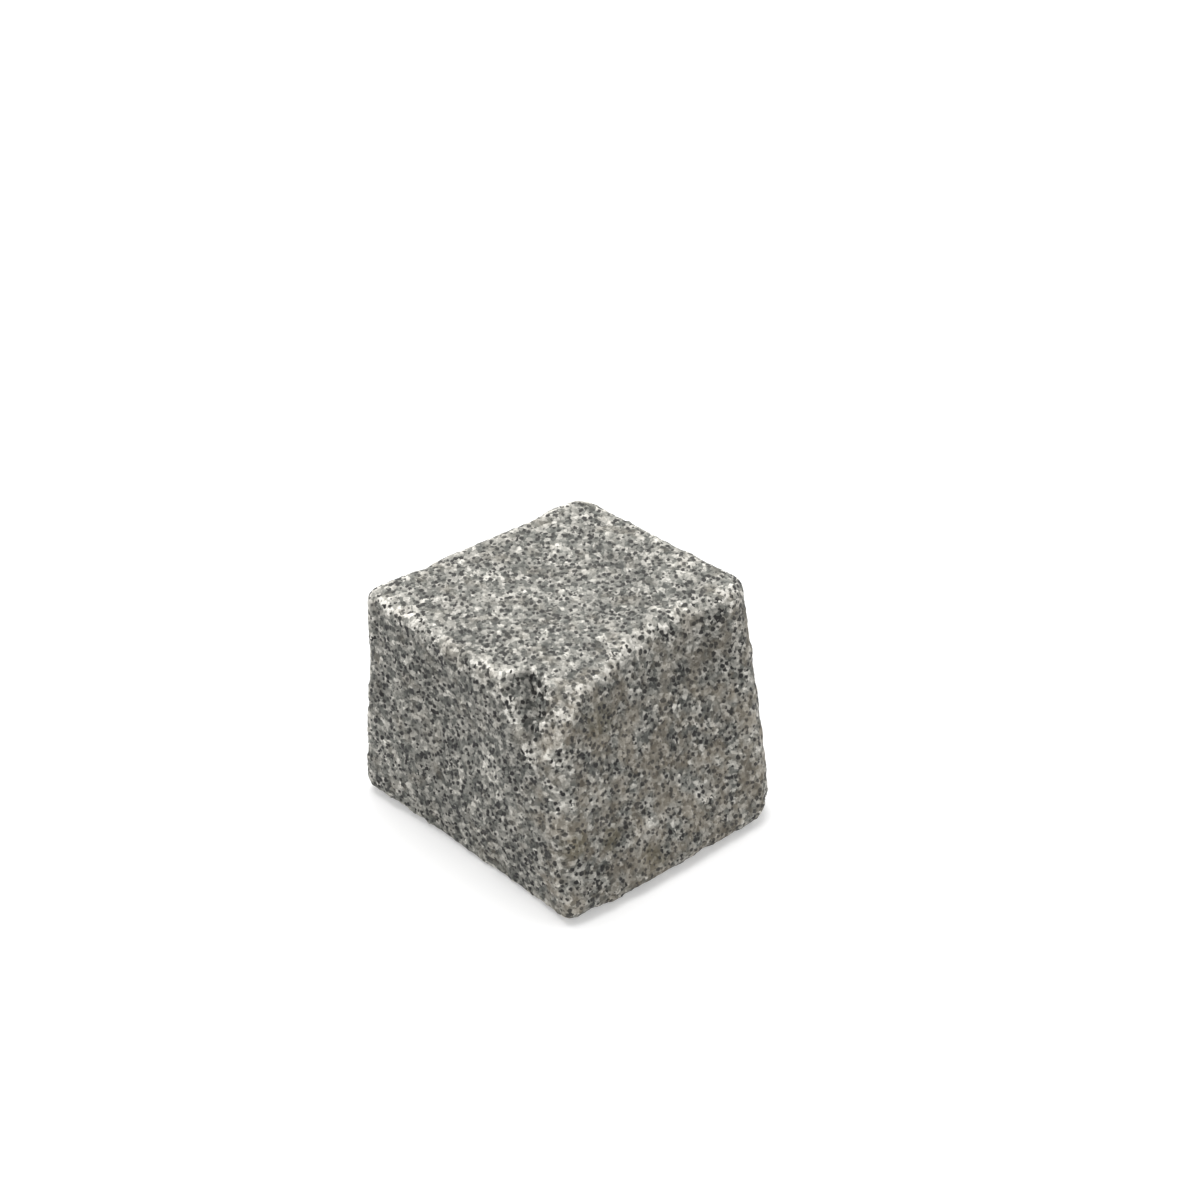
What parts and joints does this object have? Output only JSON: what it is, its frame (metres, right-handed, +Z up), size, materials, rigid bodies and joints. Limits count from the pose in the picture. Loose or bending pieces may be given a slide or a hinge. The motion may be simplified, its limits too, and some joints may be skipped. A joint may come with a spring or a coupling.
{
  "type": "granite sett",
  "caption": "tumbled granite paving sett, a roughly cubic split stone block with worn round edges, a sloping split head and a flat bed",
  "frame": {"origin": "middle of the sett's length and width, on the level its bed rests on", "axes": "+Z up out of the head, +X along the length, +Y along the width; -Y is the wall at the left of the picture and +X the wall at its right"},
  "size_m": [0.122, 0.1082, 0.0962],
  "materials": {
    "granite": "rough split and tumbled, fine grained"
  },
  "bodies": {
    "root": {"sett": "granite"}
  },
  "joints": []
}
